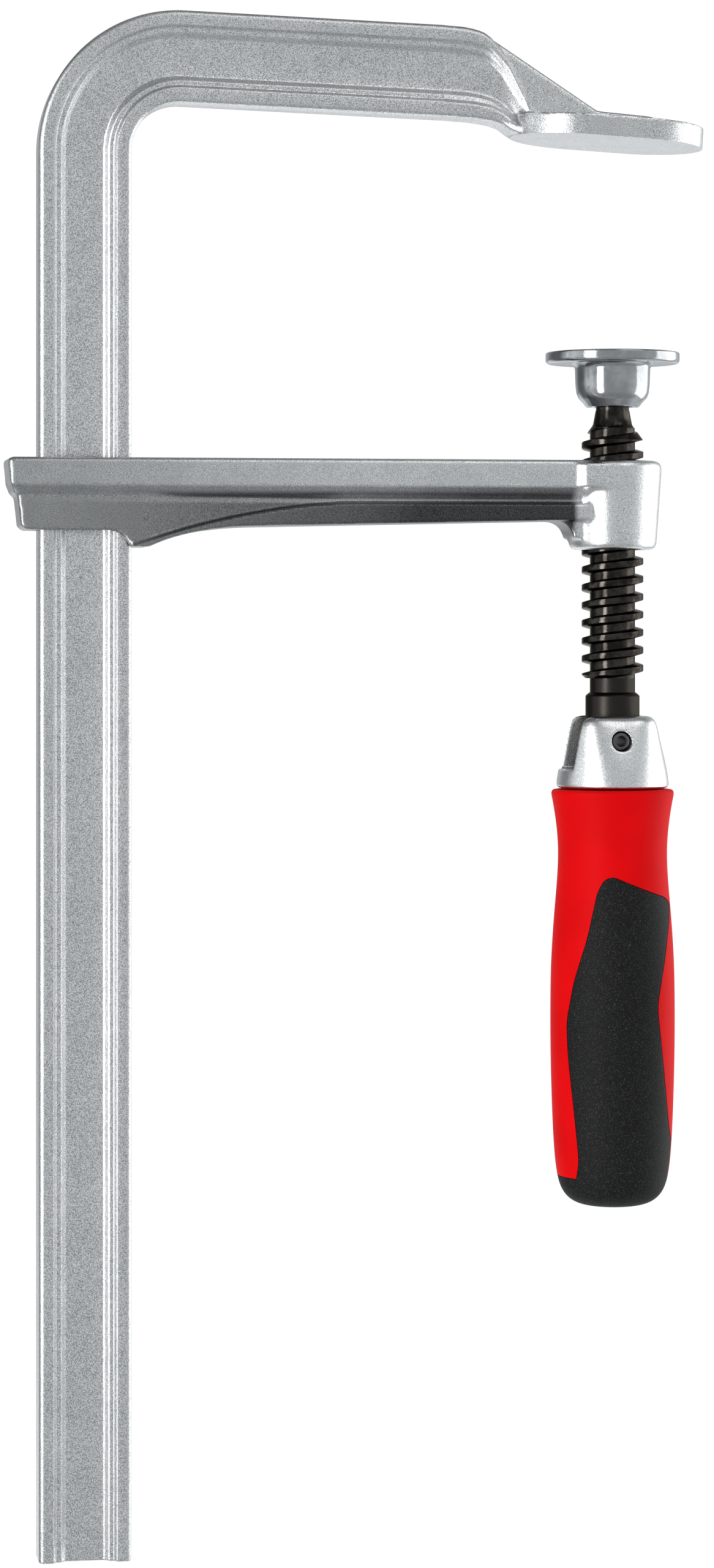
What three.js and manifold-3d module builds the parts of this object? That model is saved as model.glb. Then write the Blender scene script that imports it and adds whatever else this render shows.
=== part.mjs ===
// F clamp: a forged bar with a fixed jaw, an arm that slides on it, and a screw with a folding handle.
// Millimetres, +Z up along the bar. The origin is the middle of the fixed jaw's face, on the screw's axis.
import * as THREE from "three";
import { mergeVertices } from "three/addons/utils/BufferGeometryUtils.js";
import Module from "manifold-3d";

const wasm = await Module();
wasm.setup();
const { sin, cos, tan, PI, hypot } = Math;
const DEGREE = PI / 180;

// Bar and fixed jaw
const throatDepth = 120; // screw axis to the bar's inner face
const barWidth = 22.5;
const barThickness = 11;
const barBelowJaw = 346; // from the jaw's face down to the bar's end
const barEdge = 1.2; // rounding of the bar's outer edges
const rimWidth = 3.9; // full-thickness rim along both edges
const stepWidth = 2.3; // shelf between the rim and the web
const stepDepth = 1.1;
const webDepth = 2.2;
const bendRadius = 12; // inside of the bend
const armTop = 30.4; // top of the arm at the bend
const armSlope = 2 * DEGREE;
const armEndX = -31; // where the arm's strip runs out above the pad
const padLength = 48;
const padWidth = 34;
const padThickness = 4.6;
const padCentreX = -1.6;
const padSlope = 3.3 * DEGREE;
const ribThickness = 6.5;

// Sliding arm
const slideClearance = 0.4;
const armTopZ = -78.5;
const armTail = 7.7; // material behind the bar
const sleeveHeight = 17.6;
const sleeveWall = 2.5; // beside the bar
const flangeHeight = 6.8;
const flangeOverhang = 1.9; // beyond the web on each side
const bulbOverhang = 0.8;
const toeDepth = 21.6; // from the arm's top down to its toe
const bossTopRadius = 12.2;
const bossBottomRadius = 10.9;
const bossHeight = 22;
const bossEdge = 1.8;

// Screw
const pitch = 4.4;
const crestRadius = 7.65;
const rootRadius = 5.6;
const crestWidth = 1.5;
const flankAngle = 15 * DEGREE;
const threadClearance = 0.3;
const threadTopZ = -69.5;
const threadPhaseZ = -67.9; // the ridge's middle where it faces +X
const threadBottomZ = -132.2;
const reliefLength = 3.6;
const neckRadius = 4.1;
const ballRadius = 6;
const shankRadius = 6.7;

// Pressure plate and its snap ring
const gap = 0.3; // between pieces that touch
const plateTopZ = -51.6;
const plateRadius = 16.6;
const plateThickness = 2.9;
const cupRadius = 9.4;
const cupHeight = 10.6;
const lipHeight = 1.2;
const ballBelowPlate = 8.4; // plate's face to the ball's centre
const ringHeight = 1;

// Handle
const pivotZ = -147.6;
const pinRadius = 2.15;
const pinBore = 1.35;
const yokeTopZ = -141.5;
const yokeBottomZ = -159.3;
const yokeTopWall = 2.3; // round the slot
const yokePivotWall = 4.1;
const yokeBottomRadius = 13.6;
const slotClearance = 0.4;
const tangRadius = 4.6;
const tangLength = 62;
const gripRimRadius = 15.2;
const gripWaistRadius = 13.6;
const gripBellyRadius = 15.5;
const gripEndRadius = 14.3;
const gripLength = 102.6;
const capHeight = 8.6; // black end cap
const coatThickness = 1.8; // soft coat over the core
const panelTurn = -12 * DEGREE; // each panel faces this far round from the pivot pin

// Places that follow from the sizes above
const barInnerX = -throatDepth;
const webThickness = barThickness + 2 * (slideClearance + sleeveWall);
const barMidX = -throatDepth - barWidth / 2;
const barBottomZ = -barBelowJaw;
const ballZ = plateTopZ - ballBelowPlate;
const slotHalf = shankRadius + slotClearance;
const yokeTopRadius = slotHalf + yokeTopWall;
const yokePivotRadius = slotHalf + yokePivotWall;
const gripTopZ = yokeBottomZ - gap;
const gripBottomZ = gripTopZ - gripLength;
const threadStep = 24; // facets in a turn

const steel = { metalness: 1, roughness: 0.38 };
const materials = {
  zinc: new THREE.MeshStandardMaterial({ color: 0xc3c8cd, ...steel }),
  satin: new THREE.MeshStandardMaterial({ color: 0x85868a, ...steel }),
  polished: new THREE.MeshStandardMaterial({ color: 0xd5dae0, metalness: 1, roughness: 0.16 }),
  blackened: new THREE.MeshStandardMaterial({ color: 0x1b1a1a, metalness: 0.9, roughness: 0.3 }),
  spring: new THREE.MeshStandardMaterial({ color: 0x4a4a4c, metalness: 1, roughness: 0.4 }),
  red: new THREE.MeshStandardMaterial({ color: 0xd80f12, metalness: 0, roughness: 0.45 }),
  black: new THREE.MeshStandardMaterial({ color: 0x26282a, metalness: 0, roughness: 0.8 }),
};

// A closed three.js geometry as a solid that can be joined and cut.
function solid(geometry) {
  geometry.deleteAttribute("normal");
  geometry.deleteAttribute("uv");
  const merged = mergeVertices(geometry, 1e-4);
  return new wasm.Manifold(
    new wasm.Mesh({
      numProp: 3,
      vertProperties: merged.attributes.position.array,
      triVerts: new Uint32Array(merged.index.array),
    }),
  );
}

function piece(name, body, material) {
  const { vertProperties, triVerts } = body.getMesh();
  const geometry = new THREE.BufferGeometry()
    .setAttribute("position", new THREE.BufferAttribute(vertProperties, 3))
    .setIndex(new THREE.BufferAttribute(triVerts, 1));
  geometry.computeVertexNormals();
  const mesh = new THREE.Mesh(geometry, material);
  mesh.name = name;
  return mesh;
}

// A solid turned about the screw's axis. Its profile runs upwards as [radius, height] points.
function turned(profile, segments = threadStep) {
  const points = profile.map(([radius, z]) => new THREE.Vector2(radius, z));
  return solid(new THREE.LatheGeometry(points, segments).rotateX(PI / 2));
}

// A slab with its outline in the XZ plane, from y = -thickness / 2 to y = thickness / 2.
function slab(outline, thickness, edge = 0) {
  const geometry = new THREE.ExtrudeGeometry(outline, {
    depth: thickness - 2 * edge,
    bevelEnabled: edge > 0,
    bevelThickness: edge,
    bevelSize: edge,
    bevelOffset: -edge,
    bevelSegments: 2,
    curveSegments: 12,
  });
  return solid(geometry.translate(0, 0, edge - thickness / 2).rotateX(PI / 2));
}

function box(x0, x1, y0, y1, z0, z1) {
  const geometry = new THREE.BoxGeometry(x1 - x0, y1 - y0, z1 - z0);
  return solid(geometry.translate((x0 + x1) / 2, (y0 + y1) / 2, (z0 + z1) / 2));
}

// A round bar along Y through the pivot.
function crossRod(radius, length) {
  return solid(new THREE.CylinderGeometry(radius, radius, length, 20).translate(0, 0, pivotZ));
}

function polygon(points) {
  return new THREE.Shape(points.map(([x, z]) => new THREE.Vector2(x, z)));
}

function arcPoints(x, z, radius, from, to, steps) {
  return Array.from({ length: steps + 1 }, (_, i) => {
    const angle = from + ((to - from) * i) / steps;
    return [x + radius * cos(angle), z + radius * sin(angle)];
  });
}

// The bar's strip, from its bottom end up, round the bend and along the arm, drawn in from both edges.
function barStrip(inset, bottomZ, endX) {
  const inner = bendRadius + inset;
  const outer = bendRadius + barWidth - inset;
  const bendX = barInnerX + bendRadius;
  const bendZ = armTop - bendRadius - barWidth;
  const turn = PI / 2 - armSlope;
  const reach = (radius) => [endX, bendZ + radius / cos(armSlope) - (endX - bendX) * tan(armSlope)];
  return polygon([
    [bendX - inner, bottomZ],
    ...arcPoints(bendX, bendZ, inner, PI, turn, 12),
    reach(inner),
    reach(outer),
    ...arcPoints(bendX, bendZ, outer, turn, PI, 16),
    [bendX - outer, bottomZ],
  ]);
}

function fixedBar() {
  const past = 5;
  const groove = (inset, depth, side) =>
    slab(barStrip(inset, barBottomZ - past, armEndX - inset), past + depth).translate([
      0,
      (side * (barThickness + past - depth)) / 2,
      0,
    ]);
  let body = slab(barStrip(0, barBottomZ, armEndX), barThickness, barEdge);
  for (const side of [-1, 1]) {
    body = body
      .subtract(groove(rimWidth, stepDepth, side))
      .subtract(groove(rimWidth + stepWidth, webDepth, side));
  }
  return body.add(jawShoulder()).add(jawRib()).add(jawPad());
}

// The oval pad, its face through the origin and sloped a little towards the screw's far side.
function jawPad() {
  const edge = 0.8;
  const radius = padWidth / 2 - edge;
  const straight = padLength / 2 - padWidth / 2;
  const outline = new THREE.Shape();
  outline.absarc(straight, 0, radius, -PI / 2, PI / 2);
  outline.absarc(-straight, 0, radius, PI / 2, (3 * PI) / 2);
  const geometry = new THREE.ExtrudeGeometry(outline, {
    depth: padThickness - 2 * edge,
    bevelThickness: edge,
    bevelSize: edge,
    bevelSegments: 2,
    curveSegments: 14,
  });
  geometry.translate(padCentreX, 0, edge).rotateY(padSlope);
  return solid(geometry);
}

// The forging that widens from the arm down to the pad.
function jawShoulder() {
  const padLeft = padCentreX - padLength / 2;
  const top = armTop - 3;
  return slab(
    polygon([
      [armEndX - 16, armTop - barWidth + 1],
      [padLeft - 1, padThickness / 2 + 1.5],
      [padLeft + 5, padThickness / 2],
      [padCentreX + 5, padThickness / 2],
      [padCentreX - 2, padThickness + 3],
      [armEndX + 1, top],
      [armEndX - 2, top],
    ]),
    barThickness,
    barEdge,
  );
}

// The thin rib from the arm's top down to the pad, with its foot along the pad.
function jawRib() {
  const footEnd = 10.5;
  return slab(
    polygon([
      [armEndX - 3, armTop - barWidth + 3],
      [footEnd, padThickness / 2],
      [footEnd + 0.6, 6.6],
      [-3.7, 8.2],
      [armEndX + 2, 25.4],
      [armEndX - 3, 26.5],
    ]),
    ribThickness,
    0.6,
  );
}

// The arm's side outline below its top flange: sleeve, toe, long underside and root of the boss.
function armOutline(inset) {
  const left = barMidX - barWidth / 2 - armTail + 2;
  const bottom = armTopZ - sleeveHeight;
  const toe = armTopZ - toeDepth;
  const underside = armTopZ - bossHeight + 7.2;
  const shape = new THREE.Shape();
  shape.moveTo(left, armTopZ - inset);
  shape.lineTo(left + 0.6, bottom + 1);
  shape.lineTo(left + 1.6, bottom);
  shape.lineTo(barInnerX - 6, bottom);
  shape.quadraticCurveTo(barInnerX - 3, bottom, barInnerX - 1, toe);
  shape.lineTo(barInnerX + 4, toe);
  shape.quadraticCurveTo(barInnerX + 16, underside - 1.4, barInnerX + 30, underside - 1.6);
  shape.lineTo(-bossTopRadius - 3, underside);
  shape.quadraticCurveTo(-bossTopRadius, underside - 0.4, -bossTopRadius + 2, underside - 5);
  shape.lineTo(-bossBottomRadius / 2, underside - 5);
  shape.lineTo(-bossBottomRadius / 2, armTopZ - inset);
  return shape;
}

// The thicker bulb along the arm's underside, from the toe to the boss.
function armBulb() {
  const toe = armTopZ - toeDepth;
  const underside = armTopZ - bossHeight + 7.2;
  const shape = new THREE.Shape();
  shape.moveTo(barInnerX + 1, toe);
  shape.lineTo(barInnerX + 4, toe);
  shape.quadraticCurveTo(barInnerX + 16, underside - 1.4, barInnerX + 30, underside - 1.6);
  shape.lineTo(-bossBottomRadius / 2, underside);
  shape.lineTo(-bossBottomRadius / 2, underside + 4.4);
  shape.lineTo(barInnerX + 55, underside + 3.8);
  shape.quadraticCurveTo(barInnerX + 26, underside + 2.6, barInnerX + 1, toe);
  return slab(shape, webThickness + 2 * bulbOverhang);
}

function armFlange() {
  const left = barMidX - barWidth / 2 - armTail;
  const right = -bossTopRadius / 2;
  const lower = armTopZ - flangeHeight;
  const outline = polygon([
    [left, lower],
    [right, lower],
    [right, armTopZ],
    [left, armTopZ],
  ]);
  return slab(outline, webThickness + 2 * flangeOverhang, 1.4);
}

function boss() {
  const bottom = armTopZ - bossHeight;
  const corner = bossEdge * 0.3;
  return turned([
    [0, bottom],
    [bossBottomRadius - bossEdge, bottom],
    [bossBottomRadius - corner, bottom + corner],
    [bossBottomRadius, bottom + bossEdge],
    [bossTopRadius, armTopZ - bossEdge],
    [bossTopRadius - corner, armTopZ - corner],
    [bossTopRadius - bossEdge, armTopZ],
    [0, armTopZ],
  ]);
}

// The thread's ridge between two heights: a straight trapezoid bar wound into a right-hand helix.
function threadRidge(topZ, bottomZ, grow) {
  const base = rootRadius - 0.6;
  const crest = crestRadius + grow;
  const halfCrest = crestWidth / 2 + grow;
  const halfBase = halfCrest + (crestRadius - base) * tan(flankAngle);
  const section = polygon([
    [base, -halfBase],
    [crest, -halfCrest],
    [crest, halfCrest],
    [base, halfBase],
  ]);
  const steps = Math.round(((topZ - bottomZ) / pitch) * threadStep);
  const start = Math.round(((topZ - threadPhaseZ) / pitch) * threadStep) / threadStep;
  const geometry = new THREE.ExtrudeGeometry(section, {
    depth: steps / threadStep,
    steps,
    bevelEnabled: false,
  });
  const place = geometry.getAttribute("position");
  for (let i = 0; i < place.count; i++) {
    const radius = place.getX(i);
    const turns = start - place.getZ(i);
    const angle = 2 * PI * turns;
    place.setXYZ(
      i,
      radius * cos(angle),
      radius * sin(angle),
      threadPhaseZ + pitch * turns + place.getY(i),
    );
  }
  return solid(geometry);
}

function slidingArm() {
  const bottom = armTopZ - bossHeight;
  const beyond = 2;
  const window = box(
    barInnerX - barWidth - slideClearance,
    barInnerX + slideClearance,
    -barThickness / 2 - slideClearance,
    barThickness / 2 + slideClearance,
    armTopZ - toeDepth - beyond,
    armTopZ + beyond,
  );
  const bore = turned([
    [0, bottom - beyond],
    [rootRadius + threadClearance, bottom - beyond],
    [rootRadius + threadClearance, armTopZ + beyond],
    [0, armTopZ + beyond],
  ]);
  const groove = threadRidge(armTopZ + pitch, bottom - pitch, threadClearance);
  return slab(armOutline(1), webThickness, 0.8)
    .add(armBulb())
    .add(armFlange())
    .add(boss())
    .subtract(window)
    .subtract(bore)
    .subtract(groove);
}

// Radius of a sphere's section at a distance from its centre.
const sphereAt = (radius, distance) => Math.sqrt(Math.max(radius ** 2 - distance ** 2, 0));

// Points of a sphere's outline about the ball's centre, between two heights above that centre.
function ballArc(radius, from, to, steps) {
  return Array.from({ length: steps + 1 }, (_, i) => {
    const z = from + ((to - from) * i) / steps;
    return [sphereAt(radius, z), ballZ + z];
  });
}

const grooveTop = -1.7; // the snap ring's groove, measured from the ball's centre
const grooveDepth = 0.5; // below the neck
const grooveBottom = grooveTop - ringHeight - 2 * gap;

function spindle() {
  const shankBottom = pivotZ - shankRadius;
  const reliefBottom = threadBottomZ - reliefLength;
  const core = turned([
    [0, shankBottom],
    [shankRadius, shankBottom],
    [shankRadius, reliefBottom - 0.8],
    [rootRadius + 0.3, reliefBottom],
    [rootRadius, threadBottomZ],
    [rootRadius, threadTopZ - 1],
    [neckRadius + 0.5, threadTopZ + 2],
    [neckRadius, ballZ - ballRadius],
    [neckRadius, ballZ + grooveBottom],
    [neckRadius - grooveDepth, ballZ + grooveBottom],
    [neckRadius - grooveDepth, ballZ + grooveTop],
    ...ballArc(ballRadius, grooveTop, ballRadius, 9),
  ]);
  const envelope = turned([
    [0, threadBottomZ],
    [crestRadius - 0.8, threadBottomZ],
    [crestRadius + 0.1, threadBottomZ + 0.8],
    [crestRadius + 0.1, threadTopZ - 2.5],
    [neckRadius, threadTopZ + 1.5],
    [0, threadTopZ + 1.5],
  ]);
  const end = new THREE.Shape();
  end.moveTo(shankRadius + 3, ballZ + ballRadius + 1);
  end.lineTo(-shankRadius - 3, ballZ + ballRadius + 1);
  end.lineTo(-shankRadius - 3, threadBottomZ);
  end.lineTo(-shankRadius, reliefBottom);
  end.absarc(0, pivotZ, shankRadius, PI, 2 * PI);
  end.lineTo(shankRadius, reliefBottom);
  end.lineTo(shankRadius + 3, threadBottomZ);
  const ridge = threadRidge(threadTopZ + pitch / 2, threadBottomZ - pitch / 2, 0);
  return core
    .add(ridge.intersect(envelope))
    .intersect(slab(end, 3 * shankRadius))
    .subtract(crossRod(pinRadius + gap, 3 * shankRadius));
}

// An open ring of round wire's size that keeps the ball in the cup.
function snapRing() {
  const inner = neckRadius - grooveDepth + gap;
  const outer = sphereAt(ballRadius, grooveTop - gap - ringHeight);
  const top = ballZ + grooveTop - gap;
  const ring = turned([
    [inner, top - ringHeight],
    [outer, top - ringHeight],
    [outer, top],
    [inner, top],
    [inner, top - ringHeight],
  ]);
  const opening = box(0, 2 * ballRadius, -0.8, 0.8, top - 2 * ringHeight, top + ringHeight);
  return ring.subtract(opening);
}

function pressurePlate() {
  const under = plateTopZ - plateThickness;
  const cupBottom = under - cupHeight;
  const rim = plateThickness * 0.35;
  const cavity = ballRadius + gap;
  const lip = lipHeight - (ballZ - cupBottom); // height of the lip, from the ball's centre
  const body = turned(
    [
      [0, cupBottom],
      [cupRadius - 2.6, cupBottom],
      [cupRadius - 1, cupBottom + 1.2],
      [cupRadius - 0.4, cupBottom + 3],
      [cupRadius, under - 0.8],
      [cupRadius + 0.8, under],
      [plateRadius - rim, under],
      [plateRadius, under + rim],
      [plateRadius, plateTopZ - rim],
      [plateRadius - rim, plateTopZ],
      [0, plateTopZ],
    ],
    48,
  );
  const socket = turned([
    [0, cupBottom - 1],
    [sphereAt(cavity, lip) + 1, cupBottom - 1],
    [sphereAt(cavity, lip), ballZ + lip],
    ...ballArc(cavity, lip, cavity, 12).slice(1),
  ]);
  return body.subtract(socket);
}

function pivotPin() {
  const length = 2 * yokePivotRadius - 1.6;
  return crossRod(pinRadius, length).subtract(crossRod(pinBore, length + 2));
}

// The steel collar that carries the handle. Its slot is open on one side, so that the screw's shank can
// lie in it when the handle is folded square to the screw.
function handleYoke() {
  const tangBottom = yokeBottomZ - tangLength;
  const collar = turned(
    [
      [0, tangBottom],
      [tangRadius - 0.8, tangBottom],
      [tangRadius, tangBottom + 0.8],
      [tangRadius, yokeBottomZ],
      [yokeBottomRadius - 0.3, yokeBottomZ],
      [yokeBottomRadius, yokeBottomZ + 0.8],
      [(yokeBottomRadius + yokePivotRadius) / 2 + 0.6, (yokeBottomZ + pivotZ) / 2 + 1],
      [yokePivotRadius, pivotZ],
      [yokeTopRadius, yokeTopZ - 1.9],
      [yokeTopRadius - 0.6, yokeTopZ - 0.6],
      [yokeTopRadius - 1.7, yokeTopZ],
      [0, yokeTopZ],
    ],
    48,
  );
  const over = yokeTopZ + 2;
  const side = -yokeBottomRadius - 2;
  const slot = new THREE.Shape();
  slot.moveTo(slotHalf, over);
  slot.lineTo(side, over);
  slot.lineTo(side, pivotZ - slotHalf);
  slot.lineTo(0, pivotZ - slotHalf);
  slot.absarc(0, pivotZ, slotHalf, -PI / 2, 0);
  return collar
    .subtract(slab(slot, 2 * slotHalf))
    .subtract(crossRod(pinRadius + gap, 4 * yokePivotRadius));
}

// Outside of the grip from its domed end up to its rim, drawn in by an inset.
function gripProfile(inset) {
  const corner = 6;
  const z = (share) => gripBottomZ + share * gripLength;
  return [
    [0, gripBottomZ + inset],
    [gripEndRadius - corner - inset, gripBottomZ + 0.6 + inset],
    [gripEndRadius - corner * 0.3 - inset, gripBottomZ + corner * 0.35 + inset],
    [gripEndRadius - inset, gripBottomZ + corner * 1.4 + inset],
    [gripBellyRadius - 0.35 - inset, z(0.25)],
    [gripBellyRadius - inset, z(0.4)],
    [gripBellyRadius - 0.1 - inset, z(0.59)],
    [gripWaistRadius + 0.7 - inset, z(0.75)],
    [gripWaistRadius - inset, z(0.85)],
    [gripRimRadius - inset, gripTopZ - 1.6],
    [gripRimRadius - 0.8 - inset, gripTopZ],
    [0, gripTopZ],
  ];
}

// Side view of one black panel, from the end cap up to its slanted top.
function panelOutline(grow) {
  const z = (below) => gripTopZ - below;
  return polygon([
    [-10.6 - grow, gripBottomZ - 2],
    [-8.9 - grow, z(91)],
    [-11.4 - grow, z(62)],
    [-8.8 - grow, z(47)],
    [-3.8 - grow, z(28)],
    [-2.6 - grow, z(23) + grow],
    [0.4, z(21) + grow],
    [12.4 + grow, z(25.6) + grow],
    [14.1 + grow, z(28)],
    [11.3 + grow, z(53)],
    [14.8 + grow, z(90)],
    [16 + grow, gripBottomZ - 2],
  ]);
}

// Space of the soft coat: two panels, one on each side, that run into the end cap.
function coatSpace(grow) {
  const reach = 2 * gripBellyRadius;
  const panel = slab(panelOutline(grow), reach).translate([0, -reach / 2, 0]);
  const turn = panelTurn / DEGREE;
  const cap = box(-reach, reach, -reach, reach, gripBottomZ - 3, gripBottomZ + capHeight + grow);
  return panel
    .rotate([0, 0, turn])
    .add(panel.rotate([0, 0, turn + 180]))
    .add(cap)
    .subtract(turned(gripProfile(coatThickness + grow), 48));
}

function gripCore() {
  const depth = gripTopZ - tangLength - 1;
  const hole = turned([
    [0, depth],
    [tangRadius + gap, depth],
    [tangRadius + gap, gripTopZ + 1],
    [0, gripTopZ + 1],
  ]);
  return turned(gripProfile(0), 48).subtract(coatSpace(gap)).subtract(hole);
}

function gripCoat() {
  return turned(gripProfile(0), 48).intersect(coatSpace(0));
}

const clamp = new THREE.Group();
clamp.name = "f_clamp";
const screwGroup = new THREE.Group();
screwGroup.add(
  piece("spindle", spindle(), materials.blackened),
  piece("snap_ring", snapRing(), materials.spring),
  piece("pressure_plate", pressurePlate(), materials.polished),
);
const handleGroup = new THREE.Group();
handleGroup.add(
  piece("handle_yoke", handleYoke(), materials.zinc),
  piece("pivot_pin", pivotPin(), materials.spring),
  piece("grip_core", gripCore(), materials.red),
  piece("grip_coat", gripCoat(), materials.black),
);
clamp.add(
  piece("fixed_bar", fixedBar(), materials.zinc),
  piece("sliding_arm", slidingArm(), materials.satin),
  screwGroup,
  handleGroup,
);

export default clamp;
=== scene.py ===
# F clamp, seen from the front and a little from the left, upright in a studio bowl of white card.
# Everything is in metres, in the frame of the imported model: +Z up the bar, origin on the jaw's face.
from math import atan2, cos, pi, radians, sin, sqrt, tan

import bmesh
import bpy
from mathutils import Matrix, Vector


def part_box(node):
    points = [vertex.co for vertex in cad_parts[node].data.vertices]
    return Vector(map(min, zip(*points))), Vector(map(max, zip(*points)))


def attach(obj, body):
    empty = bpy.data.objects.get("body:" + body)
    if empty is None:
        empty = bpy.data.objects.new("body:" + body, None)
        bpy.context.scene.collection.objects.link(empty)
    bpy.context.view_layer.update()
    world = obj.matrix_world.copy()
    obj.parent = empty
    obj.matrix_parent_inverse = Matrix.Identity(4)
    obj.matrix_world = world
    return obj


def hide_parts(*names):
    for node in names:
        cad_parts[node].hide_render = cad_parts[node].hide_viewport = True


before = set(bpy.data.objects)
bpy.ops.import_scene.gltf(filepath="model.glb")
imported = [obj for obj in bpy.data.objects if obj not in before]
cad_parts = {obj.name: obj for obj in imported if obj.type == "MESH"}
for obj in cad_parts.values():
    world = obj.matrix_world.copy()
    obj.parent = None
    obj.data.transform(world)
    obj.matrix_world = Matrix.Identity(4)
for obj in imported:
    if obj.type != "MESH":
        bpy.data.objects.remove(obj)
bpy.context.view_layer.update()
mm = 0.001

# Camera. A long lens at about a metre, level with the screw and turned a little to the right, so the
# clamp's left end faces show. A small shift puts the whole height of the bar in the frame.
view_turn = radians(8.5)
view_distance = 1.05
view_centre = Vector((-64 * mm, 0, -119 * mm))
camera_data = bpy.data.cameras.new("camera")
camera_data.sensor_fit = "VERTICAL"
camera_data.sensor_height = 36
camera_data.lens = 98.2
camera_data.shift_y = -0.1015
camera_data.clip_start = 0.05
camera = bpy.data.objects.new("camera", camera_data)
camera.location = view_centre - view_distance * Vector((sin(view_turn), cos(view_turn), 0))
camera.rotation_euler = (pi / 2, 0, -view_turn)
bpy.context.scene.collection.objects.link(camera)
bpy.context.scene.camera = camera
bpy.context.scene.view_settings.view_transform = "Standard"

# Floor and back wall. One round bowl of white card: a floor that curves up into a wall on every side, so
# the clamp has the same white behind it from anywhere. Only the camera sees it: the light comes from the
# boxes and the room. It lies low, because the handle hangs below the bar when the arm is slid down.
bar_low, bar_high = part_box("fixed_bar")
floor_drop = 250 * mm
floor_z = bar_low.z - floor_drop
bowl_radius = 5.0
curve_radius = 0.8
wall_height = 4.0


def pulled(bm, edges, offset):
    """Extrudes open edges by an offset and returns the new edges."""
    new = bmesh.ops.extrude_edge_only(bm, edges=edges)["geom"]
    verts = only(bmesh.types.BMVert, new)
    bmesh.ops.translate(bm, verts=verts, vec=offset)
    return only(bmesh.types.BMEdge, new)


def only(kind, geometry):
    return [item for item in geometry if isinstance(item, kind)]


bowl = bmesh.new()
curve_steps = 12
turns = [step * pi / (2 * curve_steps) for step in range(curve_steps + 1)]
curve = [(bowl_radius - curve_radius * (1 - sin(turn)), curve_radius * (1 - cos(turn))) for turn in turns]
bowl_outline = [(0, 0)] + curve + [(bowl_radius, wall_height)]
profile = [bowl.verts.new((x, 0, floor_z + z)) for x, z in bowl_outline]
bmesh.ops.spin(
    bowl,
    geom=profile + [bowl.edges.new(pair) for pair in zip(profile, profile[1:])],
    cent=(0, 0, 0),
    axis=(0, 0, 1),
    angle=2 * pi,
    steps=96,
    use_merge=True,
)
bmesh.ops.recalc_face_normals(bowl, faces=bowl.faces)
bowl_mesh = bpy.data.meshes.new("white_bowl")
bowl.to_mesh(bowl_mesh)
bowl_mesh.shade_smooth()
white_bowl = bpy.data.objects.new("white_bowl", bowl_mesh)
white_bowl.visible_glossy = white_bowl.visible_diffuse = white_bowl.visible_shadow = False
bpy.context.scene.collection.objects.link(white_bowl)
card = bpy.data.materials.new("white_card")
card.use_nodes = True
card_shader = card.node_tree.nodes["Principled BSDF"]
card_shader.inputs["Base Color"].default_value = (0.3, 0.3, 0.3, 1)
card_shader.inputs["Roughness"].default_value = 1.0
card_shader.inputs["Specular IOR Level"].default_value = 0.0
card_shader.inputs["Emission Color"].default_value = (1, 1, 1, 1)
card_shader.inputs["Emission Strength"].default_value = 0.93
bowl_mesh.materials.append(card)


# Studio light. A strip box in front on the left, a wide box on the right and a faint one high in front.
# The rest of the room is what bright metal mirrors: grey in front, white low down behind, with a lighter
# band on each side, and dimmer overhead and behind on the left.
class Signal:
    """A shader socket that sums, differences and products can be written with."""

    def __init__(self, nodes, socket):
        self.nodes = nodes
        self.socket = socket

    def maths(self, operation, first, second):
        return self.nodes.add("ShaderNodeMath", {"operation": operation}, {0: first, 1: second})

    def __add__(self, other):
        return self.maths("ADD", self, other)

    def __sub__(self, other):
        return self.maths("SUBTRACT", self, other)

    def __rsub__(self, other):
        return self.maths("SUBTRACT", other, self)

    def __mul__(self, other):
        return self.maths("MULTIPLY", self, other)

    __radd__ = __add__
    __rmul__ = __mul__


class Nodes:
    """The node tree of a material or of the world, with short ways to add to it."""

    def __init__(self, owner):
        owner.use_nodes = True
        self.owner = owner
        self.tree = owner.node_tree

    def add(self, kind, settings, sockets, output=0):
        """Adds a node: its type, its settings, then the values and links of its sockets."""
        node = self.tree.nodes.new(kind)
        for key, value in settings.items():
            if key == "stops":
                for stop, (place, grey) in zip(node.color_ramp.elements, value):
                    stop.position = place
                    stop.color = (grey, grey, grey, 1)
            else:
                setattr(node, key, value)
        for key, value in sockets.items():
            self.feed(node.inputs[key], value)
        return Signal(self, node.outputs[output])

    def feed(self, socket, value):
        if isinstance(value, Signal):
            self.tree.links.new(value.socket, socket)
        else:
            socket.default_value = value

    def between(self, signal, low, high):
        """0 where the signal is below low, 1 above high, and a soft slope between."""
        sockets = {"Value": signal, "From Min": low, "From Max": high}
        return self.add("ShaderNodeMapRange", {"interpolation_type": "SMOOTHSTEP"}, sockets)


def soft_box(name, place, width, height, power):
    light = bpy.data.lights.new(name, "AREA")
    light.shape = "RECTANGLE"
    light.size = width
    light.size_y = height
    light.energy = power
    lamp = bpy.data.objects.new(name, light)
    lamp.location = place
    lamp.rotation_euler = (view_centre - Vector(place)).to_track_quat("-Z", "Y").to_euler()
    bpy.context.scene.collection.objects.link(lamp)


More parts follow.
